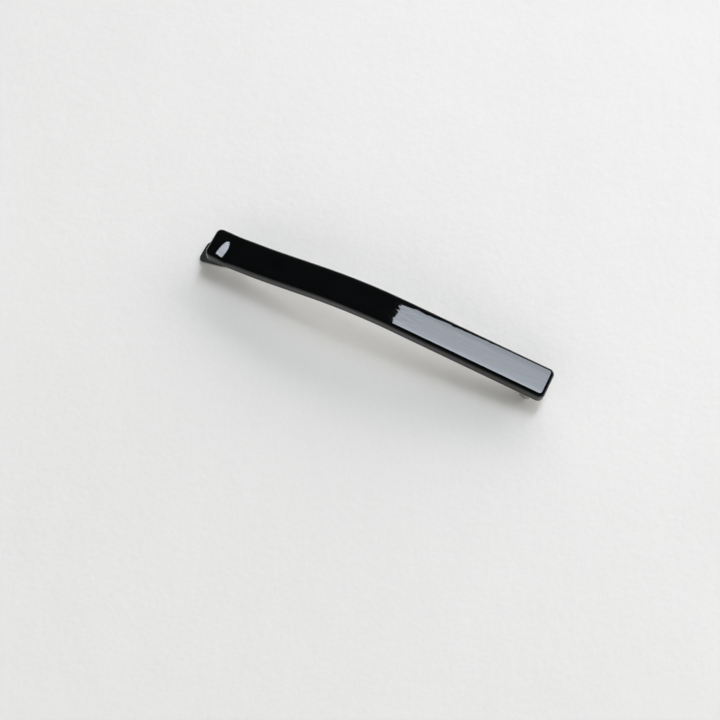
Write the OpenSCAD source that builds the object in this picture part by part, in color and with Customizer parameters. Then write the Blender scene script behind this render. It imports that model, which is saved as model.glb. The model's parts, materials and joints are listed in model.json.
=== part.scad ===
// Slim bar barrette: a bent acetate bar on a low spring clip.
// +X runs along the bar from the catch end to the hinge end, +Y across it, +Z up.
// It lies as on a table: on the tip of the arm's finger tab and on the hinge ears.
// Every strip follows one line, the bar's underside, given by its length from the catch end.

/* [Bar] */
// Width of the bar
bar_w = 7.6; // [7:0.1:9]
// Thickness of the bar
bar_t = 2.8; // [2.4:0.1:4]
// Radius of the bar's corners, seen from above
corner_r = 1.4; // [0.8:0.1:2.2]
// Length of the curled tip at the catch end
tip_len = 17.5; // [16:0.5:20]
// Upward curl of that tip's end, in degrees
tip_curl = 2; // [0:0.5:6]
// Length of the straight rise to the crest
rise_len = 9; // [6:0.5:14]
// Slope of the rise, in degrees
rise_angle = 8.6; // [6:0.2:10]
// Length of the bend over the crest
crest_len = 20; // [16:0.5:26]
// Slope of the straight fall, in degrees
fall_angle = 5.6; // [4:0.1:8]
// Length of the straight fall to the hinge end
fall_len = 36; // [34:0.5:40]

/* [Clip strips] */
// Width of the base plate
base_w = 5.8; // [5.4:0.1:6.2]
// Thickness of the base plate
base_t = 0.5; // [0.4:0.05:0.6]
// Width of the arm
arm_w = 4.8; // [4.4:0.1:5.2]
// Thickness of the arm
arm_t = 0.5; // [0.4:0.05:0.6]
// Free height between base plate and closed arm
hair_gap = 1; // [0.9:0.05:1.4]
// Width of the finger tab
tab_w = 6.1; // [5.4:0.1:6.6]
// Downward bend of the finger tab, in degrees
tab_bend = 19; // [15:1:24]
// Length of the finger tab beyond the catch
tab_len = 8.7; // [7:0.1:9]
// Width of the spring leaf
leaf_w = 2; // [1.6:0.1:2.2]

/* [Hinge and catch] */
// Distance of the hinge axis from the catch end, along the bar
hinge_s = 78.6; // [77:0.1:79]
// Depth of the hinge axis below the bar
hinge_drop = 2.2; // [2.1:0.05:2.4]
// Radius of the hinge ears
ear_r = 1.2; // [1.1:0.05:1.3]
// Radius of the hinge pin
pin_r = 0.45; // [0.4:0.01:0.5]
// Distance of the catch wings' middle from the catch end, along the bar
catch_s = 8; // [7.5:0.1:9]
// Overlap of a wing's hook under the arm
hook_reach = 0.17; // [0.1:0.01:0.2]

/* [Hidden] */
$fn = 48;
tiny = 0.01;
// Half the depth of a cut that has to pass right through
deep = 4;

// Bar line: [length, turn in degrees] of each stretch, from the catch end
bar_line = [[tip_len, tip_curl + rise_angle], [rise_len, 0],
    [crest_len, -rise_angle - fall_angle], [fall_len, 0]];
bar_len = tip_len + rise_len + crest_len + fall_len;
curve_steps = 14;
bow_steps = 36;
tab_steps = 4;
jog_steps = 10;

// Depths of the closed arm below the bar
arm_top = base_t + hair_gap;
arm_mid = arm_top + arm_t / 2;
arm_low = arm_top + arm_t;

// Base plate: its ends, its two folded edges and its hinge ears
base_start = 2.4;
base_end = hinge_s + 2.4;
base_start_r = 1.6;
base_end_r = 1.1;
ear_t = 0.45;
fold_t = 0.25;
fold_drop = 0.4;
fold_start = 12;
fold_end = hinge_s - 3;

// Arm: knuckle, joggle and tab
knuckle_r = ear_r - 0.05;
knuckle_step = 0.04;
bore_r = pin_r + 0.05;
knuckle_w = base_w - 2 * ear_t - 0.2;
knuckle_mid = hinge_drop + knuckle_r - arm_t / 2 - knuckle_step;
jog_len = 4.5;
slot_w = 1.9;
slot_start = 14;
slot_end = 68;
slot_end_r = slot_w / 2 + 0.1;
wing_len = 3;
window_play = 0.25;
window_half = 1.25;
tab_start = catch_s - wing_len / 2 - 0.5;
tab_bend_len = 2.5;
tab_line = [[-tab_bend_len, tab_bend], [tab_bend_len - tab_len, 0]];
tab_corner_r = 1.3;

// Catch wings
wing_t = 0.35;
wing_play = 0.1;
wing_face = window_half - wing_play;
wing_drop = arm_low + 1.3;
catch_t = 0.35;
catch_w = 3.4;
catch_start = tab_start - 2.9;
catch_end = catch_s + wing_len / 2 + 0.4;
catch_start_r = 1.2;
catch_end_r = 0.6;
root_r = wing_t / 2;
root_drop = base_t + catch_t + root_r + 0.03;
hook_play = 0.05;
hook_lip = 0.15;
hook_ramp = 0.45;

// Spring leaf and the strap that holds its root
leaf_t = 0.25;
leaf_play = 0.05;
leaf_bow = hair_gap - leaf_t - 0.2;
leaf_root = slot_end + 1.4;
leaf_free = slot_start + 1;
leaf_end_r = 0.8;
head_len = 0.8;
head_w = leaf_w + 0.8;
strap_len = 1.2;
strap_t = 0.25;
strap_side = 0.4;
strap_half = leaf_w / 2 + 0.15 + strap_side;

// Rivets and the pin's peened heads
rivet_r = 0.6;
rivet_head_r = 0.95;
rivet_head_h = 0.3;
rivet_grip = 1.7;
catch_rivet_s = tab_start - 1.3;
hinge_rivet_s = hinge_s - 5;
pin_head_r = 0.7;
pin_head_t = 0.22;
// Narrowing of a peened head towards its face
dome = 0.7;

// A place on a line is [x, z, heading in degrees].
function walk(p, l, turn) =
    turn == 0 ? [p[0] + l * cos(p[2]), p[1] + l * sin(p[2]), p[2]]
    : let (r = l / (turn * PI / 180))
        [p[0] + r * (sin(p[2] + turn) - sin(p[2])),
         p[1] - r * (cos(p[2] + turn) - cos(p[2])), p[2] + turn];
function along(line, s, p, i = 0) =
    i == len(line) - 1 || abs(s) <= abs(line[i][0])
    ? walk(p, s, line[i][1] * s / line[i][0])
    : along(line, s - line[i][0], walk(p, line[i][0], line[i][1]), i + 1);
function lift(p, d) = [p[0] - d * sin(p[2]), p[1] + d * cos(p[2]), p[2]];
function turned(p, a) =
    [p[0] * cos(a) - p[1] * sin(a), p[0] * sin(a) + p[1] * cos(a), p[2] + a];
function stops(a, b, n) = [for (i = [0:n]) a + (b - a) * i / n];

// Only the bends of the bar line need stops between a strip's two ends
crest_start = tip_len + rise_len;
bends = concat(stops(0, tip_len, curve_steps),
    stops(crest_start, crest_start + crest_len, curve_steps));
function bar_stops(a, b) = concat([a], [for (s = bends) if (s > a + 0.3 && s < b - 0.3) s], [b]);
function smooth(u) = let (v = min(1, max(0, u))) v * v * (3 - 2 * v);

// The line is laid first with the catch end at the origin, then tilted until the tab's
// tip and the hinge ears stand on one level.
laid = [0, 0, -tip_curl];
function tab_tip(p) = along(tab_line, -tab_len, lift(along(bar_line, tab_start, p), -arm_mid));
function tab_foot(p) = lift(tab_tip(p), -arm_t / 2);
function hinge_at(p) = lift(along(bar_line, hinge_s, p), -hinge_drop);
foot_a = tab_foot(laid);
foot_b = hinge_at(laid);
foot_gap = norm([foot_b[0] - foot_a[0], foot_b[1] - foot_a[1]]);
tilt = asin(ear_r / foot_gap) - atan2(foot_b[1] - foot_a[1], foot_b[0] - foot_a[0]);
tilted = turned(laid, tilt);
x_low = lift(tab_tip(tilted), arm_t / 2)[0];
x_high = lift(along(bar_line, bar_len, tilted), bar_t)[0];
start = [tilted[0] - (x_low + x_high) / 2, tilted[1] - tab_foot(tilted)[1], tilted[2]];

function bar_at(s) = along(bar_line, s, start);
function arm_depth(s) = arm_mid + (knuckle_mid - arm_mid) * smooth((s - hinge_s + jog_len) / jog_len);
function leaf_depth(s) = base_t + leaf_play + leaf_t / 2
    + leaf_bow * sin(180 * min(1, max(0, (leaf_root - s) / (leaf_root - leaf_free))));

// Outline of a strip along places p, from height lo to height hi
function ribbon(p, lo, hi) = concat(
    [for (q = p) let (r = lift(q, hi)) [r[0], r[1]]],
    [for (i = [len(p) - 1:-1:0]) let (r = lift(p[i], lo)) [r[0], r[1]]]);
function bar_places(a, b) = [for (s = bar_stops(a, b)) bar_at(s)];

module strip(places, lo, hi, w) {
    rotate([90, 0, 0])
        linear_extrude(w, center = true)
            polygon(ribbon(places, lo, hi));
}

// Puts its children at a place on the bar's underside, +X along it
module on_bar(s) {
    p = bar_at(s);
    translate([p[0], 0, p[1]])
        rotate([0, -p[2], 0])
            children();
}

// What has to go from a strip's two corners at its end, which faces +X
module corner_waste(w, r) {
    for (side = [0, 1])
        mirror([0, side, 0])
            translate([-r, w / 2 - r, -deep])
                difference() {
                    cube([r + 1, r + 1, 2 * deep]);
                    translate([0, 0, -tiny]) cylinder(r = r + tiny, h = 2 * deep + 2 * tiny);
                }
}

// A plate on edge, in the plane of X and Z, at y
module upright(y, t) {
    translate([0, y, 0])
        rotate([90, 0, 0])
            linear_extrude(t, center = true)
                children();
}

module rivet(s, seat) {
    on_bar(s) {
        translate([0, 0, -seat]) cylinder(r = rivet_r, h = seat + rivet_grip);
        translate([0, 0, -seat - rivet_head_h / 2]) cylinder(r = rivet_head_r, h = rivet_head_h / 2);
        translate([0, 0, -seat - rivet_head_h])
            cylinder(r1 = rivet_head_r * dome, r2 = rivet_head_r, h = rivet_head_h / 2);
    }
}

module bar() {
    color("#101214")
    difference() {
        strip(bar_places(0, bar_len), 0, bar_t, bar_w);
        on_bar(bar_len) corner_waste(bar_w, corner_r);
        on_bar(0) mirror([1, 0, 0]) corner_waste(bar_w, corner_r);
        for (s = [catch_rivet_s, hinge_rivet_s])
            on_bar(s) translate([0, 0, -deep]) cylinder(r = rivet_r, h = deep + rivet_grip);
    }
}

module hinge_ear(y) {
    upright(y, ear_t) {
        translate([-ear_r, -hinge_drop]) square([2 * ear_r, hinge_drop - base_t / 2]);
        translate([0, -hinge_drop]) circle(ear_r);
    }
}

module leaf_strap() {
    low = base_t + 2 * leaf_play + leaf_t;
    translate([-strap_len / 2, -strap_half, -low - strap_t])
        cube([strap_len, 2 * strap_half, strap_t]);
    for (y = [-strap_half, strap_half - strap_side])
        translate([-strap_len / 2, y, -low - strap_t])
            cube([strap_len, strap_side, low + strap_t - base_t / 2]);
}

module base_plate() {
    fold_y = (base_w - fold_t) / 2;
    color("silver")
    difference() {
        union() {
            strip(bar_places(base_start, base_end), -base_t, 0, base_w);
            for (side = [-1, 1]) {
                translate([0, side * fold_y, 0])
                    strip(bar_places(fold_start, fold_end), -base_t - fold_drop, -base_t / 2, fold_t);
                on_bar(hinge_s) hinge_ear(side * (base_w - ear_t) / 2);
            }
            on_bar(leaf_root) leaf_strap();
        }
        on_bar(base_end) corner_waste(base_w, base_end_r);
        on_bar(base_start) mirror([1, 0, 0]) corner_waste(base_w, base_start_r);
        on_bar(hinge_s)
            translate([0, 0, -hinge_drop])
                rotate([90, 0, 0]) cylinder(r = pin_r + tiny, h = base_w + 1, center = true);
        for (s = [catch_rivet_s, hinge_rivet_s])
            on_bar(s) cylinder(r = rivet_r, h = 2 * deep, center = true);
    }
}

module catch_plate() {
    color("silver")
    difference() {
        strip(bar_places(catch_start, catch_end), -base_t - catch_t, -base_t, catch_w);
        on_bar(catch_end) corner_waste(catch_w, catch_end_r);
        on_bar(catch_start) mirror([1, 0, 0]) corner_waste(catch_w, catch_start_r);
        on_bar(catch_rivet_s) cylinder(r = rivet_r, h = 2 * deep, center = true);
    }
}

// One catch wing, hooked towards +Y
module catch_wing() {
    in = wing_face - wing_t;
    hook_top = -arm_low - hook_play;
    hook_y = window_half + hook_reach;
    translate([-wing_len / 2, 0, 0])
        rotate([90, 0, 90])
            linear_extrude(wing_len)
                polygon([[in, -root_drop], [wing_face, -root_drop], [wing_face, hook_top],
                    [hook_y, hook_top], [hook_y, hook_top - hook_lip],
                    [wing_face, hook_top - hook_ramp], [wing_face, -wing_drop],
                    [in, -wing_drop]]);
    translate([0, wing_face - root_r, -root_drop])
        rotate([0, 90, 0]) cylinder(r = root_r, h = wing_len, center = true);
}

module catch_wing_back() {
    color("silver") on_bar(catch_s) catch_wing();
}

module catch_wing_front() {
    color("silver") on_bar(catch_s) mirror([0, 1, 0]) catch_wing();
}

module arm() {
    tab_root = lift(bar_at(tab_start), -arm_mid);
    tab_end = along(tab_line, -tab_len, tab_root);
    tab_bow = [for (s = stops(0, -tab_bend_len, tab_steps)) along(tab_line, s, tab_root)];
    tab_places = concat(tab_bow, [tab_end]);
    jog_start = hinge_s - jog_len;
    mid_places = [for (s = bar_stops(tab_start, jog_start)) lift(bar_at(s), -arm_mid)];
    jog_places = [for (s = stops(jog_start, hinge_s, jog_steps)) lift(bar_at(s), -arm_depth(s))];
    reach = wing_len / 2 + window_play;
    color("silver")
    difference() {
        union() {
            strip(tab_places, -arm_t / 2, arm_t / 2, tab_w);
            strip(mid_places, -arm_t / 2, arm_t / 2, arm_w);
            strip(jog_places, -arm_t / 2, arm_t / 2, knuckle_w);
            on_bar(hinge_s)
                translate([0, 0, -hinge_drop])
                    rotate([90, 0, 0]) cylinder(r = knuckle_r, h = knuckle_w, center = true);
        }
        translate([tab_end[0], 0, tab_end[1]])
            rotate([0, -tab_end[2], 0])
                mirror([1, 0, 0]) corner_waste(tab_w, tab_corner_r);
        on_bar(hinge_s)
            translate([0, 0, -hinge_drop])
                rotate([90, 0, 0]) cylinder(r = bore_r, h = base_w, center = true);
        on_bar(catch_s)
            translate([-reach, -window_half, -arm_low - 1])
                cube([2 * reach, 2 * window_half, arm_t + 2]);
        strip(bar_places(slot_start, slot_end), -arm_low - 1, -arm_top + 1, slot_w);
        for (s = [slot_start, slot_end])
            on_bar(s) translate([0, 0, -arm_low - 1]) cylinder(r = slot_end_r, h = arm_t + 2);
    }
}

module spring_leaf() {
    leaf_end = leaf_root + strap_len / 2 + 0.2;
    places = [for (s = stops(leaf_free, leaf_end, bow_steps)) lift(bar_at(s), -leaf_depth(s))];
    head = [for (s = [leaf_end, leaf_end + head_len]) lift(bar_at(s), -leaf_depth(s))];
    color("silver")
    difference() {
        union() {
            strip(places, -leaf_t / 2, leaf_t / 2, leaf_w);
            strip(head, -leaf_t / 2, leaf_t / 2, head_w);
        }
        on_bar(leaf_free) mirror([1, 0, 0]) corner_waste(leaf_w, leaf_end_r);
    }
}

module hinge_pin() {
    half = base_w / 2;
    color("silver")
    on_bar(hinge_s)
        translate([0, 0, -hinge_drop])
            rotate([90, 0, 0]) {
                cylinder(r = pin_r, h = base_w, center = true);
                for (side = [0, 1])
                    mirror([0, 0, side])
                        translate([0, 0, half])
                            cylinder(r1 = pin_head_r, r2 = pin_head_r * dome, h = pin_head_t);
            }
}

module rivet_catch_end() {
    color("silver") rivet(catch_rivet_s, base_t + catch_t);
}

module rivet_hinge_end() {
    color("silver") rivet(hinge_rivet_s, base_t);
}

bar();
base_plate();
catch_plate();
catch_wing_front();
catch_wing_back();
arm();
spring_leaf();
hinge_pin();
rivet_catch_end();
rivet_hinge_end();
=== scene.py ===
"""Slim acetate barrette: the looks of every piece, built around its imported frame.

Strips of the clip are cut as flat blanks, with X as the length along the bar from its catch end,
Y across and Z as the height above the bar's underside. Then they are folded and bent along the bar.
"""

import json
from math import atan2, ceil, cos, exp, pi, radians, sin, tan

import bmesh
import bpy
from mathutils import Matrix, Vector


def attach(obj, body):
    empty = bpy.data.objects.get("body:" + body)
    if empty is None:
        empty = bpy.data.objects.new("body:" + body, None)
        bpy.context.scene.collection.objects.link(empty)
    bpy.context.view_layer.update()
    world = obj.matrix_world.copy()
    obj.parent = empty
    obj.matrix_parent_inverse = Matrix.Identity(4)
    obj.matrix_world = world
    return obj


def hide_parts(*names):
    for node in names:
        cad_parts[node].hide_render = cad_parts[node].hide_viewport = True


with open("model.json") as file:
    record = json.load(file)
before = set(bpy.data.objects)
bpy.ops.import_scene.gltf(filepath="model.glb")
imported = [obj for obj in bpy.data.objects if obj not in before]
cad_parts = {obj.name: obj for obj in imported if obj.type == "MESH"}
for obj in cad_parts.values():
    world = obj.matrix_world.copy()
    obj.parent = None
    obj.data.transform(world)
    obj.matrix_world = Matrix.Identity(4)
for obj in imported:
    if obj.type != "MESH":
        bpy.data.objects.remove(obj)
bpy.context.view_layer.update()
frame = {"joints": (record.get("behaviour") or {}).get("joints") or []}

bl_info = {
    "name": "Acetate barrette",
    "version": (1, 0, 0),
    "blender": (4, 5, 0),
    "location": "3D View > Sidebar > Barrette",
    "description": "Models and finishes each piece of a slim barrette around its packed frame",
    "category": "Object",
}

MM = 0.001
BAR_BODY = "bar_body"
ARM_BODY = "arm_body"
CATCH_SHEET = 0.35 * MM
LEAF_ROOT = 69.4 * MM
JOINTS = {joint["name"]: joint for joint in frame["joints"]}


# Sizes


def length(name, description, default_mm):
    """A size that the sidebar shows in scene units."""
    return bpy.props.FloatProperty(
        name=name, description=description, default=default_mm * MM, min=0, unit="LENGTH", precision=5
    )


def angle(name, description, default_degrees):
    """An angle that the sidebar shows in degrees."""
    return bpy.props.FloatProperty(
        name=name, description=description, default=radians(default_degrees), unit="ROTATION"
    )


def colour(name, description, default):
    """A linear colour."""
    return bpy.props.FloatVectorProperty(
        name=name, description=description, default=default, subtype="COLOR", size=3, min=0, max=1
    )


class BarSizes(bpy.types.PropertyGroup):
    """The acetate bar"""

    width: length("Width", "Across the bar", 7.6)
    thickness: length("Thickness", "Of the acetate", 2.8)
    corner: length("Corner radius", "Of the four corners, seen from above", 1.4)
    top_edge: length("Top edge radius", "Tumbled rounding of the upper edge", 0.85)
    low_edge: length("Lower edge radius", "Tumbled rounding of the lower edge", 0.35)
    tip_length: length("Tip length", "Of the curled tip at the catch end", 17.5)
    tip_curl: angle("Tip curl", "Upward turn of the tip's end", 2)
    rise_length: length("Rise length", "Of the straight rise to the crest", 9)
    rise_slope: angle("Rise slope", "Of the straight rise", 8.6)
    crest_length: length("Crest length", "Of the bend over the crest", 20)
    fall_slope: angle("Fall slope", "Of the straight fall to the hinge end", 5.6)
    fall_length: length("Fall length", "Of the straight fall", 36)
    crown: length("Crown", "Fall of the polished top towards its long edges", 0.1)
    crown_width: length("Crown width", "Of the part that falls, beside each edge rounding", 1.3)
    sink_depth: length("Sink depth", "Of the hollow in the top near the catch end", 0.52)
    sink_steep: length("Sink steep side", "Length of the side towards the tip", 3.25)
    sink_gentle: length("Sink gentle side", "Length of the side towards the crest", 3.8)
    sink_spread: length("Sink spread", "How far the hollow spreads across the bar", 3.5)


class ClipSizes(bpy.types.PropertyGroup):
    """The metal clip under the bar"""

    sheet: length("Sheet", "Thickness of the base plate and the arm", 0.5)
    burr: length("Edge radius", "Rounding of a stamped edge", 0.07)
    base_width: length("Base width", "Across the base plate", 5.8)
    fold_radius: length("Fold radius", "Inside radius of the base plate's folds", 0.25)
    fold_depth: length("Fold depth", "Of the folded edges below the bar", 0.9)
    arm_width: length("Arm width", "Across the arm and its knuckle", 4.7)
    hair_gap: length("Hair gap", "Between the base plate and the closed arm", 1)
    tab_width: length("Tab width", "Across the finger tab", 6.1)
    tab_length: length("Tab length", "Of the finger tab beyond the catch", 8.7)
    tab_bend: angle("Tab bend", "Downward turn of the finger tab", 19)
    ear_radius: length("Ear radius", "Of the hinge ears", 1.2)
    hinge_drop: length("Hinge drop", "Depth of the hinge axis below the bar", 2.2)
    hinge_at: length("Hinge place", "Of the hinge axis, along the bar", 78.6)
    catch_at: length("Catch place", "Of the wings' middle, along the bar", 8)
    pin_radius: length("Pin radius", "Of the hinge pin", 0.45)
    leaf_width: length("Leaf width", "Across the spring leaf", 2)


class FinishColours(bpy.types.PropertyGroup):
    """Colours of the finishes"""

    acetate: colour("Acetate", "Of the polished black acetate", (0.002, 0.0026, 0.0027))
    acetate_depth: colour("Acetate depth", "Of its deeper clouds", (0.0034, 0.004, 0.0043))
    nickel: colour("Nickel plating", "Of the base plate and the arm", (0.62, 0.61, 0.59))
    spring: colour("Spring steel", "Of the leaf and the catch", (0.43, 0.43, 0.44))
    rivet: colour("Rivet steel", "Of the rivets and the pin", (0.5, 0.49, 0.48))
    plaster: colour("Floor", "Of the pale floor", (0.88, 0.875, 0.865))


# The line that every strip follows: a place on it is (x, z, heading)


def walk(place, run, turn):
    """The place at the end of a stretch of that length, which turns by that angle."""
    x, z, heading = place
    if not turn:
        return x + run * cos(heading), z + run * sin(heading), heading
    radius = run / turn
    end = heading + turn
    return x + radius * (sin(end) - sin(heading)), z - radius * (cos(end) - cos(heading)), end


def along(line, run, place):
    """The place that far along a line of (length, turn) stretches."""
    for stretch, turn in line[:-1]:
        if run <= stretch:
            return walk(place, run, turn * run / stretch)
        place = walk(place, stretch, turn)
        run -= stretch
    stretch, turn = line[-1]
    return walk(place, run, turn * run / stretch)


def lift(place, height):
    """The same place, that far along its upward normal."""
    x, z, heading = place
    return x - height * sin(heading), z + height * cos(heading), heading


class BarLine:
    """The bar's underside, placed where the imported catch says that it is."""

    root_drop = 1.055 * MM

    def __init__(self, bar, clip):
        self.stretches = [
            (bar.tip_length, bar.tip_curl + bar.rise_slope),
            (bar.rise_length, 0),
            (bar.crest_length, -bar.rise_slope - bar.fall_slope),
            (bar.fall_length, 0),
        ]
        self.length = sum(stretch for stretch, turn in self.stretches)
        crest = bar.tip_length + bar.rise_length
        self.bends = [(0, bar.tip_length), (crest, self.length - bar.fall_length)]
        wing = JOINTS["wing_front_pinch"]
        x, y, z = wing["pos_m"]
        level = along(self.stretches, clip.catch_at, (0, 0, 0))
        tilt = atan2(wing["axis"][2], wing["axis"][0]) - level[2]
        laid = lift(along(self.stretches, clip.catch_at, (0, 0, tilt)), -self.root_drop)
        self.start = (x - laid[0], z - laid[1], tilt)

    def at(self, s):
        """The place on the underside at that length from the catch end."""
        return along(self.stretches, s, self.start)

    def below(self, depth):
        """A route that keeps a depth, or one that changes along the bar, below the underside."""
        step = 0.02 * MM

        def route(s):
            deep = depth(s) if callable(depth) else depth
            x, z, heading = lift(self.at(s), -deep)
            if callable(depth):
                heading -= atan2(depth(s + step) - depth(s - step), 2 * step)
            return x, z, heading

        return route

    def matrix(self, s, depth=0):
        """A frame on the bar at s: X along it and Z up from the underside."""
        x, z, heading = lift(self.at(s), -depth)
        return Matrix.Translation((x, 0, z)) @ Matrix.Rotation(-heading, 4, "Y")


def ease(u):
    """A smooth step from 0 to 1."""
    u = min(1, max(0, u))
    return u * u * (3 - 2 * u)


def stops(start, end, step):
    """Evenly spaced numbers from start to end, no further apart than step."""
    count = max(1, ceil((end - start) / step))
    return [start + (end - start) * i / count for i in range(count + 1)]


# Mesh work


def draw_out(bm, extruded, by):
    """Moves what an extrusion has added."""
    added = [g for g in extruded["geom"] if isinstance(g, bmesh.types.BMVert)]
    bmesh.ops.translate(bm, verts=added, vec=by)


def blank(outline, low, high):
    """A flat blank: half its outline, as (x, y, corner radius) points from one end to the other."""
    bm = bmesh.new()
    whole = list(outline) + [(x, -y, r) for x, y, r in reversed(outline)]
    corners = [bm.verts.new((x, y, low)) for x, y, r in whole]
    bm.faces.new(corners)
    bmesh.ops.recalc_face_normals(bm, faces=bm.faces[:])
    rounded = sorted({r for x, y, r in whole if r})
    marks = {r: [v for v, (x, y, q) in zip(corners, whole) if q == r] for r in rounded}
    for radius in rounded:
        bmesh.ops.bevel(
            bm, geom=marks[radius], offset=radius, offset_type="OFFSET", affect="VERTICES",
            segments=8, profile=0.5, material=-1,
        )
    draw_out(bm, bmesh.ops.extrude_face_region(bm, geom=bm.faces[:]), (0, 0, high - low))
    bmesh.ops.recalc_face_normals(bm, faces=bm.faces[:])
    return bm


def disc(x, y, radius, low, high):
    """A round cutter that passes through a blank."""
    bm = bmesh.new()
    bmesh.ops.create_cone(
        bm, cap_ends=True, segments=32, radius1=radius, radius2=radius, depth=high - low,
        matrix=Matrix.Translation((x, y, (low + high) / 2)),
    )
    return bm


def in_scene(bm, name):
    """An object in the scene, made from a mesh that is finished with."""
    mesh = bpy.data.meshes.new(name)
    bm.to_mesh(mesh)
    bm.free()
    made = bpy.data.objects.new(name, mesh)
    bpy.context.scene.collection.objects.link(made)
    return made


def cut_out(bm, tools):
    """bm with the tools cut out of it, all closed solids."""
    base = in_scene(bm, "blank_work")
    cutters = [in_scene(tool, "tool_work") for tool in tools]
    for cutter in cutters:
        step = base.modifiers.new("cut", "BOOLEAN")
        step.operation = "DIFFERENCE"
        step.solver = "EXACT"
        step.object = cutter
    bpy.context.view_layer.update()
    result = bmesh.new()
    result.from_object(base, bpy.context.evaluated_depsgraph_get())
    for spent in [base, *cutters]:
        mesh = spent.data
        bpy.data.objects.remove(spent)
        bpy.data.meshes.remove(mesh)
    bmesh.ops.remove_doubles(result, verts=result.verts[:], dist=0.002 * MM)
    return result


def round_rims(bm, radius, segments=3):
    """Rounds every sharp edge."""
    sharp = radians(50)
    rims = [e for e in bm.edges if e.is_manifold and e.calc_face_angle(0) > sharp]
    bmesh.ops.bevel(
        bm, geom=rims, offset=radius, offset_type="OFFSET", affect="EDGES", segments=segments,
        profile=0.5, material=-1, clamp_overlap=True,
    )


def slice_across(bm, places, axis=0):
    """Cuts rows of vertices across X, or along another axis, so that the blank can bend there."""
    normal = Vector((0, 0, 0))
    normal[axis] = 1
    for place in places:
        bmesh.ops.bisect_plane(
            bm, geom=bm.verts[:] + bm.edges[:] + bm.faces[:], dist=0.001 * MM,
            plane_co=normal * place, plane_no=normal,
        )


def bend(bm, route):
    """Carries a flat blank onto its route."""
    for v in bm.verts:
        x, z, heading = route(v.co.x)
        v.co = (x - v.co.z * sin(heading), v.co.y, z + v.co.z * cos(heading))


def lathe(profile):
    """A closed turned piece around Z: its profile is (radius, height) points from axis to axis."""
    bm = bmesh.new()
    ring = [bm.verts.new((radius, 0, height)) for radius, height in profile]
    edges = [bm.edges.new(pair) for pair in zip(ring, ring[1:])]
    bmesh.ops.spin(
        bm, geom=ring + edges, cent=(0, 0, 0), axis=(0, 0, 1), angle=2 * pi, steps=40, use_merge=True
    )
    bmesh.ops.remove_doubles(bm, verts=bm.verts[:], dist=0.001 * MM)
    bmesh.ops.recalc_face_normals(bm, faces=bm.faces[:])
    return bm


def finish_piece(name, bm, body, node, material, crease=40):
    """Makes a piece of the finished mesh: it rides on its body and stands for its CAD node."""
    bmesh.ops.recalc_face_normals(bm, faces=bm.faces[:])
    piece = in_scene(bm, name)
    piece.data.shade_smooth()
    piece.data.set_sharp_from_angle(angle=radians(crease))
    piece.data.materials.append(material)
    flat = piece.modifiers.new("even_faces", "WEIGHTED_NORMAL")
    flat.keep_sharp = True
    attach(piece, body)
    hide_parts(node)


# Finishes


class Wire:
    """A number or vector in a shader. Arithmetic on a number adds the Math nodes."""

    def __init__(self, nodes, socket):
        self.nodes = nodes
        self.socket = socket

    def math(self, operation, *values):
        return self.nodes.add("ShaderNodeMath", {"operation": operation}, dict(enumerate(values)))

    def __add__(self, other):
        return self.math("ADD", self, other)

    def __sub__(self, other):
        return self.math("SUBTRACT", self, other)

    def __rsub__(self, other):
        return self.math("SUBTRACT", other, self)

    def __mul__(self, other):
        return self.math("MULTIPLY", self, other)

    def __gt__(self, other):
        return self.math("GREATER_THAN", self, other)

    def __lt__(self, other):
        return self.math("LESS_THAN", self, other)

    def __abs__(self):
        return self.math("ABSOLUTE", self)

    __radd__ = __add__
    __rmul__ = __mul__


class Nodes:
    """The nodes of a material, a light or the world."""

    def __init__(self, tree):
        self.tree = tree

    def add(self, kind, settings=None, sockets=None, output=0):
        """Adds a node: its settings first, then the values or links of its sockets."""
        node = self.tree.nodes.new(kind)
        for key, value in (settings or {}).items():
            if key == "stops":
                self.set_stops(node.color_ramp.elements, value)
            else:
                setattr(node, key, value)
        return self.feed(node, sockets or {}, output)

    @staticmethod
    def set_stops(elements, levels):
        """Gives a ramp its (place, level) stops."""
        while len(elements) < len(levels):
            elements.new(0.5)
        for stop, (at, level) in zip(elements, levels):
            stop.position, stop.color = at, (level, level, level, 1)

    def feed(self, node, sockets, output=0):
        """Sets or links a node's sockets, and gives one of its outputs."""
        for key, value in sockets.items():
            if isinstance(value, Wire):
                self.tree.links.new(value.socket, node.inputs[key])
            else:
                node.inputs[key].default_value = value
        return Wire(self, node.outputs[output]) if node.outputs else node

    def part(self, vector, axis):
        """One axis of a vector."""
        return self.add("ShaderNodeSeparateXYZ", {}, {"Vector": vector}, axis)

    def between(self, value, low, high, to_low=0.0, to_high=1.0):
        """A number spread from one range to another, and held inside it."""
        sockets = {"Value": value, "From Min": low, "From Max": high, "To Min": to_low, "To Max": to_high}
        return self.add("ShaderNodeMapRange", {"clamp": True}, sockets)

    def graded(self, value, levels):
        """A number read off a ramp."""
        return self.add("ShaderNodeValToRGB", {"stops": levels}, {"Fac": value})


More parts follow.
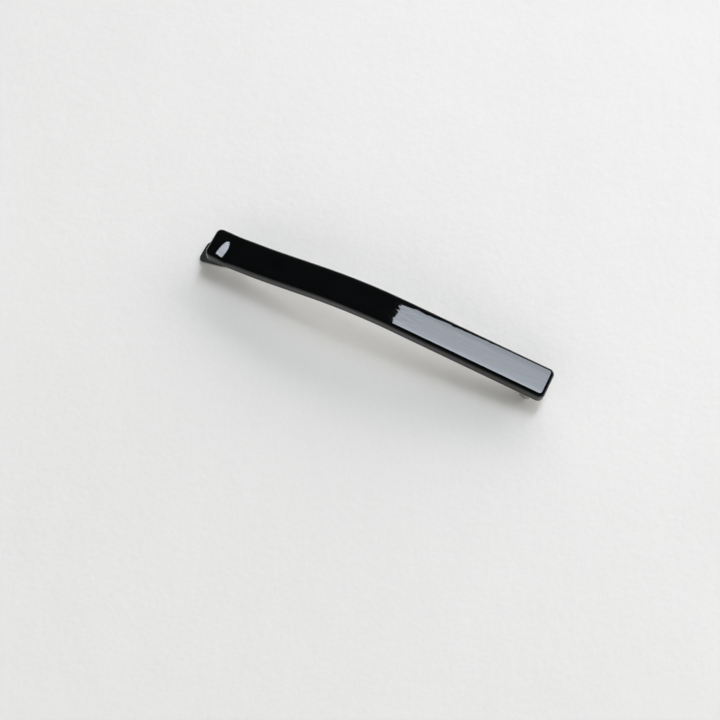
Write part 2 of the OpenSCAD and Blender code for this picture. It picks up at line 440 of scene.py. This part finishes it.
class Finish(Nodes):
    """One material, built from nodes."""

    def __init__(self, name):
        self.material = bpy.data.materials.new(name)
        self.material.use_nodes = True
        super().__init__(self.material.node_tree)
        self.tree.nodes.clear()
        self.place = self.add("ShaderNodeTexCoord", output="Object")

    def noise(self, scale, detail=2, roughness=0.5, stretch=(1, 1, 1)):
        """Clouds of noise in the piece's own space, drawn out along an axis where asked."""
        mapped = self.add("ShaderNodeMapping", {}, {"Vector": self.place, "Scale": stretch})
        sockets = {"Vector": mapped, "Scale": scale, "Detail": detail, "Roughness": roughness}
        return self.add("ShaderNodeTexNoise", {"noise_dimensions": "3D"}, sockets)

    def blend(self, share, first, second):
        """A colour between two."""
        settings = {"data_type": "RGBA", "blend_type": "MIX"}
        sockets = {0: share, 6: opaque(first), 7: opaque(second)}
        return self.add("ShaderNodeMix", settings, sockets, output=2)

    def bump(self, height, distance):
        """A surface normal raised by height, which spans that distance from 0 to 1."""
        return self.add("ShaderNodeBump", {}, {"Height": height, "Distance": distance, "Strength": 1.0})

    def close(self, **sockets):
        """Ends the material in one Principled shader."""
        named = {key.replace("_", " "): value for key, value in sockets.items()}
        shader = self.add("ShaderNodeBsdfPrincipled", {}, named)
        self.add("ShaderNodeOutputMaterial", {}, {"Surface": shader})
        return self.material


def opaque(value):
    """A plain colour with its alpha, or a linked one as it is."""
    return value if isinstance(value, Wire) else (*value, 1.0)


def polished_acetate(colours):
    """Black acetate, tumbled to a polish: faint clouds inside, soft waves and fine strokes on top."""
    finish = Finish("polished_black_acetate")
    clouds = finish.between(finish.noise(95, 3, 0.55, (1, 2, 2)), 0.35, 0.7)
    hairlines = finish.between(finish.noise(5200, 1, 0.5, (0.03, 1, 1)), 0.66, 0.74)
    waves = finish.noise(150, 1.5, 0.4)
    strokes = finish.noise(1500, 1, 0.5, (0.2, 1, 1))
    crest_end = 6.5 * MM
    from_crest = abs(finish.part(finish.place, "X") - crest_end)
    stroke_height = finish.between(from_crest, 2 * MM, 5 * MM, 0.65, 0.3)
    height = waves * 0.6 + strokes * stroke_height
    return finish.close(
        Base_Color=finish.blend(clouds, colours.acetate, colours.acetate_depth),
        Roughness=clouds * 0.015 + hairlines * 0.03 + 0.03,
        IOR=1.49,
        Normal=finish.bump(height, 0.04 * MM),
    )


def drawn_metal(name, tint, rough, grain, pits):
    """Plated strip: fine drawn lines along it, faint blotches in the plating and small pits."""
    finish = Finish(name)
    lines = finish.noise(2600, 2, 0.6, (0.045, 1, 1))
    blotches = finish.between(finish.noise(420, 4, 0.6), 0.35, 0.72)
    specks = finish.between(finish.noise(2900, 2, 0.5), 0.67, 0.75)
    darker = tuple(0.78 * part for part in tint)
    plating = finish.blend(blotches, tint, darker)
    stained = finish.blend(specks * pits, plating, tuple(0.35 * part for part in tint))
    return finish.close(
        Base_Color=stained,
        Metallic=1.0,
        Roughness=lines * grain + blotches * 0.07 + specks * 0.2 + rough,
        Normal=finish.bump(lines * 0.7 + specks * -0.5, 0.006 * MM),
    )


def pale_plaster(colours):
    """The floor: white plaster, troweled flat."""
    finish = Finish("pale_plaster")
    tone = finish.between(finish.noise(9, 4, 0.6), 0.3, 0.75)
    trowel = finish.noise(60, 5, 0.62, (1, 0.55, 1))
    grain = finish.noise(900, 3, 0.6)
    shade = tuple(0.965 * part for part in colours.plaster)
    return finish.close(
        Base_Color=finish.blend(tone, colours.plaster, shade),
        Roughness=0.85,
        Normal=finish.bump(trowel + grain * 0.06, 0.35 * MM),
    )


# Operators: one for each piece or group of like pieces


def sizes():
    """The clip's sizes and the colours of the sidebar, with the line that the strips follow."""
    scene = bpy.context.scene
    line = BarLine(scene.barrette_bar, scene.barrette_clip)
    return scene.barrette_clip, line, scene.barrette_colours


def arm_top(clip):
    """Depth of the closed arm's upper face below the bar."""
    return clip.sheet + clip.hair_gap


class BARRETTE_OT_bar(bpy.types.Operator):
    """Models the bent acetate bar with its tumbled edges"""

    bl_idname = "barrette.bar"
    bl_label = "Acetate bar"

    def execute(self, context):
        bar = context.scene.barrette_bar
        clip, line, colours = sizes()
        half = bar.width / 2
        bm = blank([(0, half, bar.corner), (line.length, half, bar.corner)], 0, bar.thickness)
        for level, radius, segments in ((bar.thickness, bar.top_edge, 10), (0, bar.low_edge, 5)):
            rim = [
                e for e in bm.edges
                if all(abs(v.co.z - level) < 0.01 * MM for v in e.verts) and e.calc_face_angle(0) > 1
            ]
            bmesh.ops.bevel(
                bm, geom=rim, offset=radius, affect="EDGES", segments=segments, profile=0.5, material=-1
            )
        hollow_end = 10 * MM
        slice_across(bm, stops(0, hollow_end, 0.25 * MM)[1:-1])
        for start, end in line.bends:
            slice_across(bm, stops(max(start, hollow_end), end, 0.5 * MM))
        slice_across(bm, stops(line.length - bar.fall_length, line.length, 4 * MM)[1:-1])
        flat = half - bar.top_edge
        slice_across(bm, stops(-flat, flat, 0.3 * MM), axis=1)
        self.relieve_top(bm, bar, clip)
        bend(bm, line.at)
        finish_piece(
            "acetate_bar", bm, BAR_BODY, "bar", polished_acetate(colours), crease=80
        )
        return {"FINISHED"}

    @staticmethod
    def relieve_top(bm, bar, clip):
        """The soft crown of the tumbled top, and the shallow hollow near its catch end."""
        flat = bar.width / 2 - bar.top_edge - bar.crown_width
        front_share = 0.45
        deepest, aside = clip.catch_at - 2.8 * MM, -1.7 * MM
        pivot, skew = 4 * MM, radians(-7)
        for v in bm.verts:
            if v.co.z > bar.thickness / 2:
                share = 1 if v.co.y > 0 else front_share
                past = max(0, abs(v.co.y) - flat) / bar.crown_width * share
                off = v.co.y - aside
                run = (v.co.x - pivot) * cos(skew) + off * sin(skew) + pivot - deepest
                dip = ease(1 + run / bar.sink_steep) * (1 - ease(run / bar.sink_gentle))
                fade = exp(-off * off / (2 * bar.sink_spread ** 2))
                v.co.z -= bar.crown * past * past + bar.sink_depth * dip * fade


def rivet_places(clip):
    """Lengths along the bar of the catch-end and hinge-end rivets."""
    return clip.catch_at - 3.3 * MM, clip.hinge_at - 5 * MM


class BARRETTE_OT_base(bpy.types.Operator):
    """Models the stamped base plate with its folded edges, hinge ears and leaf strap"""

    bl_idname = "barrette.base"
    bl_label = "Base plate"

    def execute(self, context):
        clip, line, colours = sizes()
        outer = clip.fold_radius + clip.sheet
        web = clip.base_width / 2 - outer
        fold = (clip.fold_radius + clip.sheet / 2) * pi / 2
        edge = web + fold + clip.fold_depth - outer
        pin = web + fold + clip.hinge_drop - outer
        tip = pin + clip.ear_radius
        near, far = clip.hinge_at - clip.ear_radius, clip.hinge_at + clip.ear_radius
        start, end = 2.4 * MM, clip.hinge_at + 2.4 * MM
        round_ear = 0.99 * clip.ear_radius
        outline = [
            (start, edge, 1.6 * MM), (near, edge, 0.35 * MM), (near, tip, round_ear),
            (far, tip, round_ear), (far, edge, 0.35 * MM), (end, edge, 0.8 * MM),
        ]
        bm = blank(outline, -clip.sheet, 0)
        through = (-2 * clip.sheet, clip.sheet)
        bore = clip.pin_radius + 0.01 * MM
        holes = [disc(clip.hinge_at, side * pin, bore, *through) for side in (-1, 1)]
        bm = cut_out(bm, holes)
        round_rims(bm, clip.burr)
        for side in (-1, 1):
            slice_across(bm, [side * place for place in stops(web, web + fold, fold / 8)], axis=1)
        slice_across(bm, stops(start, line.bends[0][1], 0.7 * MM)[1:])
        slice_across(bm, stops(*line.bends[1], 0.7 * MM))
        for v in bm.verts:
            v.co.y, v.co.z = self.folded(v.co.y, v.co.z, web, outer, fold)
        self.add_strap(bm, clip)
        bend(bm, line.at)
        metal = drawn_metal("nickel_plated_base", colours.nickel, 0.17, 0.12, 0.55)
        finish_piece("stamped_base_plate", bm, BAR_BODY, "base_plate", metal)
        return {"FINISHED"}

    @staticmethod
    def folded(y, z, web, outer, fold):
        """Where a point of the flat blank goes when the sides are folded down."""
        side = 1 if y > 0 else -1
        past = abs(y) - web
        if past <= 0:
            return y, z
        radius = outer + z
        turn = min(past / fold, 1) * pi / 2
        drop = max(past - fold, 0)
        return side * (web + radius * sin(turn)), radius * cos(turn) - outer - drop

    @staticmethod
    def add_strap(bm, clip):
        """The strap, lanced out of the web, that the leaf's root is pushed under."""
        middle, half, thick = LEAF_ROOT, clip.leaf_width / 2 + 0.35 * MM, 0.25 * MM
        hollow, foot, sunk, long = 0.35 * MM, 0.45 * MM, 0.1 * MM, 1.2 * MM
        profile = [(-half - foot, sunk), (-half, -hollow), (half, -hollow), (half + foot, sunk)]
        strap = bmesh.new()
        points = [strap.verts.new((middle - long / 2, y, z - clip.sheet)) for y, z in profile]
        for pair in zip(points, points[1:]):
            strap.edges.new(pair)
        bmesh.ops.bevel(
            strap, geom=points[1:3], offset=0.2 * MM, affect="VERTICES", segments=4, profile=0.5,
            material=-1,
        )
        draw_out(strap, bmesh.ops.extrude_edge_only(strap, edges=strap.edges[:]), (long, 0, 0))
        bmesh.ops.recalc_face_normals(strap, faces=strap.faces[:])
        if sum(f.normal.z * f.calc_area() for f in strap.faces) < 0:
            bmesh.ops.reverse_faces(strap, faces=strap.faces[:])
        bmesh.ops.solidify(strap, geom=strap.faces[:], thickness=thick)
        held = bpy.data.meshes.new("strap_work")
        strap.to_mesh(held)
        strap.free()
        bm.from_mesh(held)
        bpy.data.meshes.remove(held)


class BARRETTE_OT_arm(bpy.types.Operator):
    """Models the closing arm with its slot, catch window, rolled knuckle and finger tab"""

    bl_idname = "barrette.arm"
    bl_label = "Arm"

    jog = 4.5 * MM

    def execute(self, context):
        clip, line, colours = sizes()
        middle = arm_top(clip) + clip.sheet / 2
        roll = clip.pin_radius + 0.05 * MM + clip.sheet / 2
        tab_root, bend_length = clip.catch_at - 2 * MM, 2.5 * MM
        tip = tab_root - clip.tab_length - 0.2 * MM
        curl = radians(318)
        roll_end = clip.hinge_at + roll * curl
        thick = clip.sheet / 2
        wide, narrow = clip.tab_width / 2, clip.arm_width / 2
        outline = [
            (tip, wide, 1.7 * MM), (tab_root - 1.6 * MM, wide, 0.8 * MM),
            (tab_root + 1.2 * MM, narrow, 0.8 * MM), (roll_end, narrow, 0.1 * MM),
        ]
        bm = blank(outline, -thick, thick)
        slot = [(end, 0.95 * MM, 0.93 * MM) for end in (13 * MM, 69 * MM)]
        window = [(clip.catch_at + end, 1.25 * MM, 0.25 * MM) for end in (-1.75 * MM, 1.75 * MM)]
        cutters = [blank(shape, -2 * thick, 2 * thick) for shape in (slot, window)]
        bm = cut_out(bm, cutters)
        round_rims(bm, clip.burr)
        slice_across(bm, stops(tab_root - bend_length, line.bends[0][1], 0.6 * MM))
        slice_across(bm, stops(*line.bends[1], 0.7 * MM))
        slice_across(bm, stops(clip.hinge_at - self.jog, clip.hinge_at, 0.3 * MM))
        slice_across(bm, stops(clip.hinge_at, roll_end, 0.1 * MM)[1:-1])

        jog_drop = clip.hinge_drop + roll - middle

        def depth(s):
            return middle + jog_drop * ease((s - clip.hinge_at + self.jog) / self.jog)

        straight = line.below(depth)
        root = lift(line.at(tab_root), -middle)
        tab_bend = [(bend_length, -clip.tab_bend), (clip.tab_length - bend_length, 0)]
        pin = lift(line.at(clip.hinge_at), -clip.hinge_drop)

        def route(s):
            if s < tab_root:
                x, z, heading = along(tab_bend, tab_root - s, (0, 0, -root[2]))
                return root[0] - x, root[1] + z, -heading
            if s > clip.hinge_at:
                turned = pin[2] + (s - clip.hinge_at) / roll
                return lift((pin[0], pin[1], turned), -roll)
            return straight(s)

        bend(bm, route)
        metal = drawn_metal("nickel_plated_arm", colours.nickel, 0.07, 0.07, 0.5)
        finish_piece("closing_arm", bm, ARM_BODY, "arm", metal)
        return {"FINISHED"}


class BARRETTE_OT_catch(bpy.types.Operator):
    """Models the catch plate and its two hooked wings"""

    bl_idname = "barrette.catch"
    bl_label = "Catch"

    def execute(self, context):
        clip, line, colours = sizes()
        metal = drawn_metal("spring_steel_catch", colours.spring, 0.22, 0.14, 0.6)
        start, end = clip.catch_at - 4.9 * MM, clip.catch_at + 1.9 * MM
        plate = blank([(start, 1.7 * MM, 1.2 * MM), (end, 1.7 * MM, 0.5 * MM)], -CATCH_SHEET, 0)
        round_rims(plate, clip.burr)
        slice_across(plate, stops(start, end, 0.7 * MM)[1:-1])
        bend(plate, line.below(clip.sheet))
        finish_piece("riveted_catch_plate", plate, BAR_BODY, "catch_plate", metal)
        for side, name in ((-1, "front"), (1, "back")):
            wing, body, node = self.wing(clip, line, side), f"wing_{name}_body", f"catch_wing_{name}"
            finish_piece(f"hooked_wing_{name}", wing, body, node, metal)
        return {"FINISHED"}

    @staticmethod
    def wing(clip, line, side):
        """One wing: its section across the bar, drawn out along it."""
        inner, face = 0.8 * MM, 1.15 * MM
        hook = arm_top(clip) + clip.sheet + 0.05 * MM
        section = [
            (inner, line.root_drop - 0.14 * MM), (face, line.root_drop - 0.14 * MM), (face, hook),
            (face + 0.27 * MM, hook), (face + 0.27 * MM, hook + 0.15 * MM), (face, hook + 0.5 * MM),
            (face - 0.05 * MM, hook + 1.15 * MM), (inner - 0.05 * MM, hook + 1.2 * MM),
        ]
        long = 1.5 * MM
        bm = bmesh.new()
        end = bm.faces.new([bm.verts.new((-long, side * y, -z)) for y, z in section])
        draw_out(bm, bmesh.ops.extrude_face_region(bm, geom=[end]), (2 * long, 0, 0))
        bmesh.ops.recalc_face_normals(bm, faces=bm.faces[:])
        round_rims(bm, 0.05 * MM, 2)
        bmesh.ops.transform(bm, matrix=line.matrix(clip.catch_at), verts=bm.verts[:])
        return bm


class BARRETTE_OT_leaf(bpy.types.Operator):
    """Models the bowed spring leaf with its rounded tip and headed root"""

    bl_idname = "barrette.leaf"
    bl_label = "Spring leaf"

    def execute(self, context):
        clip, line, colours = sizes()
        half, thick = clip.leaf_width / 2, 0.25 * MM
        free, root, end = 15 * MM, LEAF_ROOT, 71 * MM
        head = end - 0.8 * MM
        outline = [
            (free, half, 0.9 * MM), (head, half, 0.15 * MM), (head, half + 0.4 * MM, 0.15 * MM),
            (end, half + 0.4 * MM, 0.3 * MM),
        ]
        bm = blank(outline, -thick / 2, thick / 2)
        round_rims(bm, 0.05 * MM, 2)
        slice_across(bm, stops(free, head, 0.8 * MM)[1:-1])
        bow = clip.hair_gap - thick - 0.2 * MM
        rest = clip.sheet + 0.05 * MM + thick / 2

        def depth(s):
            share = min(1, max(0, (root - s) / (root - free)))
            return rest + bow * sin(pi * share)

        bend(bm, line.below(depth))
        metal = drawn_metal("spring_steel_leaf", colours.spring, 0.2, 0.16, 0.4)
        finish_piece("bowed_leaf", bm, BAR_BODY, "spring_leaf", metal)
        return {"FINISHED"}


class BARRETTE_OT_fixings(bpy.types.Operator):
    """Models the two blind rivets and the peened hinge pin"""

    bl_idname = "barrette.fixings"
    bl_label = "Rivets and pin"

    def execute(self, context):
        clip, line, colours = sizes()
        metal = drawn_metal("satin_rivet_steel", colours.rivet, 0.26, 0.1, 0.7)
        catch_end, hinge_end = rivet_places(clip)
        seats = (
            ("catch_end", catch_end, clip.sheet + CATCH_SHEET), ("hinge_end", hinge_end, clip.sheet),
        )
        for name, place, seat in seats:
            head = self.rivet(seat)
            bmesh.ops.transform(head, matrix=line.matrix(place), verts=head.verts[:])
            finish_piece(f"blind_rivet_{name}", head, BAR_BODY, f"rivet_{name}", metal)
        pin = self.pin(clip)
        turn = line.matrix(clip.hinge_at, clip.hinge_drop) @ Matrix.Rotation(pi / 2, 4, "X")
        bmesh.ops.transform(pin, matrix=turn, verts=pin.verts[:])
        finish_piece("peened_hinge_pin", pin, BAR_BODY, "hinge_pin", metal)
        return {"FINISHED"}

    @staticmethod
    def rivet(seat):
        """A tubular rivet: a shank in the acetate and a rolled head with its dimple."""
        shank, head, high = 0.59 * MM, 0.95 * MM, 0.3 * MM
        dimple, deep, bulge, sunk = 0.34 * MM, 0.2 * MM, 0.12 * MM, 1.6 * MM
        low = -seat - high
        profile = [(0, low + deep), (0.7 * dimple, low + deep), (dimple, low + 0.6 * deep)]
        middle, tube = (dimple + head) / 2, (head - dimple) / 2
        for step in range(9):
            turn = pi * step / 8
            profile.append((middle - tube * cos(turn), low + bulge - bulge * sin(turn)))
        profile += [(head, -seat), (shank, -seat), (shank, sunk), (0, sunk)]
        return lathe(profile)

    @staticmethod
    def pin(clip):
        """The pin with a dome peened over at each end."""
        half, head, dome, edge = clip.base_width / 2, 0.68 * MM, 0.21 * MM, 0.03 * MM
        turns = [pi / 2 * step / 6 for step in range(6)]
        rim = [(head * cos(turn), half + edge + (dome - edge) * sin(turn)) for turn in turns]
        upper = [(clip.pin_radius, half), (head, half), *rim, (0, half + dome)]
        lower = [(radius, -height) for radius, height in reversed(upper)]
        return lathe(lower + upper)


class BARRETTE_OT_stage(bpy.types.Operator):
    """Sets the pale floor, the window light, the soft fills and the camera"""

    bl_idname = "barrette.stage"
    bl_label = "Stage"

    def execute(self, context):
        scene = context.scene
        bm = bmesh.new()
        bmesh.ops.create_grid(bm, x_segments=2, y_segments=2, size=3)
        floor = in_scene(bm, "floor")
        floor.data.materials.append(pale_plaster(scene.barrette_colours))

        self.window()
        for name, place, size, radiance in (
            ("back_fill", (0.35, 1.9, 0.6), (5.6, 1.15), 4.2),
            ("overhead_fill", (0.3, 0.6, 2), (1.6, 1.2), 1.6),
            ("front_fill", (0.2, -2, 0.75), (4.4, 1.4), 1.35),
            ("left_fill", (-2, -0.8, 0.9), (1.6, 1.4), 0.8),
            ("right_fill", (2, 0, 0.65), (2.4, 1.2), 1.5),
        ):
            fill = self.light(name, Vector(place), size, radiance, (1.0, 0.985, 0.95))
            fill.visible_glossy = False
        self.room(scene)
        scene.view_settings.view_transform = "Standard"

        self.camera(scene)
        return {"FINISHED"}

    @classmethod
    def window(cls):
        """The tall window that the polished top mirrors, slanted a little and brightest at its top."""
        top, foot, seen = radians(73.5), radians(36), radians(66)
        left, right, slant = 0.008, 0.22, radians(4)
        middle, half = (top + foot) / 2, tan((top - foot) / 2)
        back = Vector((0, cos(middle), sin(middle)))
        shift = (left + right) / 2 - tan(seen - middle) * tan(slant)
        place = back + Vector((shift, 0, 0))
        panel = cls.light("window", place, (right - left, 2 * half), 10.5, (0.83, 0.9, 1.0))
        turn = Matrix((Vector((1, 0, 0)), back.cross(Vector((1, 0, 0))), back)).transposed()
        panel.matrix_world = Matrix.Translation(place) @ turn.to_4x4() @ Matrix.Rotation(slant, 4, "Z")
        panel.data.use_nodes = True
        nodes = Nodes(panel.data.node_tree)
        where = nodes.add("ShaderNodeNewGeometry", output="Parametric")
        across, down = nodes.part(where, "X"), nodes.part(where, "Y")
        levels = ((0, 1.4), (0.12, 1.22), (0.2, 1.0), (0.34, 0.8), (0.7, 0.72), (1, 1.0))
        # The lower left corner is covered, as by a drawn curtain
        curtain = nodes.between(down, 0.4, 1, 0, 0.85)
        glow = nodes.graded(down, levels) * (across > curtain)
        nodes.feed(nodes.tree.nodes["Emission"], {"Strength": glow})

    @staticmethod
    def room(scene):
        """The room around the table: dim walls and a dark ceiling, but pale to the camera."""
        world = bpy.data.worlds.new("studio")
        scene.world = world
        world.use_nodes = True
        nodes = Nodes(world.node_tree)
        where = nodes.add("ShaderNodeTexCoord", output="Generated")
        levels = ((0, 0.2), (0.3, 0.08), (0.6, 0.03), (0.8, 0.018))
        strength = nodes.graded(nodes.part(where, "Z"), levels)
        dim_sockets = {"Color": (0.9, 1.0, 1.0, 1.0), "Strength": strength}
        dim = nodes.feed(nodes.tree.nodes["Background"], dim_sockets)
        pale = nodes.add("ShaderNodeBackground", {}, {"Color": (0.9, 0.9, 0.89, 1.0)})
        seen = nodes.add("ShaderNodeLightPath", output="Is Camera Ray")
        mixed = nodes.add("ShaderNodeMixShader", {}, {0: seen, 1: dim, 2: pale})
        nodes.feed(nodes.tree.nodes["World Output"], {"Surface": mixed})

    @staticmethod
    def light(name, place, size, radiance, tint):
        """A rectangular panel that faces the object, as bright as asked per unit of its area."""
        panel = bpy.data.lights.new(name, "AREA")
        panel.shape = "RECTANGLE"
        panel.size, panel.size_y = size
        panel.energy = radiance * pi * size[0] * size[1]
        panel.color = tint
        lamp = bpy.data.objects.new(name, panel)
        bpy.context.scene.collection.objects.link(lamp)
        turn = place.to_track_quat("Z", "Y").to_matrix().to_4x4()
        lamp.matrix_world = Matrix.Translation(place) @ turn
        return lamp

    @staticmethod
    def camera(scene):
        """A short telephoto view from above, a little to the hinge end's side."""
        azimuth, elevation, distance = radians(25.4), radians(63.38), 0.4085
        aim = Vector((0.0017, -0.0101, 0.0008))
        lens = bpy.data.cameras.new("camera")
        lens.lens = 92.6
        lens.sensor_width = 36
        lens.clip_start = 0.01
        view = bpy.data.objects.new("camera", lens)
        scene.collection.objects.link(view)
        out = cos(elevation)
        back = Vector((sin(azimuth) * out, -cos(azimuth) * out, sin(elevation)))
        turn = back.to_track_quat("Z", "Y").to_matrix().to_4x4()
        view.matrix_world = Matrix.Translation(aim + distance * back) @ turn
        scene.camera = view


class BARRETTE_PT_sidebar(bpy.types.Panel):
    """The barrette's sizes, colours and pieces"""

    bl_idname = "BARRETTE_PT_sidebar"
    bl_label = "Acetate barrette"
    bl_space_type = "VIEW_3D"
    bl_region_type = "UI"
    bl_category = "Barrette"

    def draw(self, context):
        scene = context.scene
        for group in (scene.barrette_bar, scene.barrette_clip, scene.barrette_colours):
            box = self.layout.box()
            for name in group.__annotations__:
                box.prop(group, name)
        for operator in PIECE_OPERATORS + STAGE_OPERATORS:
            self.layout.operator(operator.bl_idname)


PROPERTY_GROUPS = (BarSizes, ClipSizes, FinishColours)
PIECE_OPERATORS = (
    BARRETTE_OT_bar, BARRETTE_OT_base, BARRETTE_OT_arm, BARRETTE_OT_catch, BARRETTE_OT_leaf,
    BARRETTE_OT_fixings,
)
STAGE_OPERATORS = (BARRETTE_OT_stage,)
CLASSES = PROPERTY_GROUPS + PIECE_OPERATORS + STAGE_OPERATORS + (BARRETTE_PT_sidebar,)


def register():
    for cls in CLASSES:
        bpy.utils.register_class(cls)
    bpy.types.Scene.barrette_bar = bpy.props.PointerProperty(type=BarSizes)
    bpy.types.Scene.barrette_clip = bpy.props.PointerProperty(type=ClipSizes)
    bpy.types.Scene.barrette_colours = bpy.props.PointerProperty(type=FinishColours)


def unregister():
    del bpy.types.Scene.barrette_colours
    del bpy.types.Scene.barrette_clip
    del bpy.types.Scene.barrette_bar
    for cls in reversed(CLASSES):
        bpy.utils.unregister_class(cls)


def main():
    """Builds every piece and the stage."""
    register()
    bpy.ops.barrette.stage()
    bpy.ops.barrette.bar()
    bpy.ops.barrette.base()
    bpy.ops.barrette.arm()
    bpy.ops.barrette.catch()
    bpy.ops.barrette.leaf()
    bpy.ops.barrette.fixings()


if __name__ == "__main__":
    main()
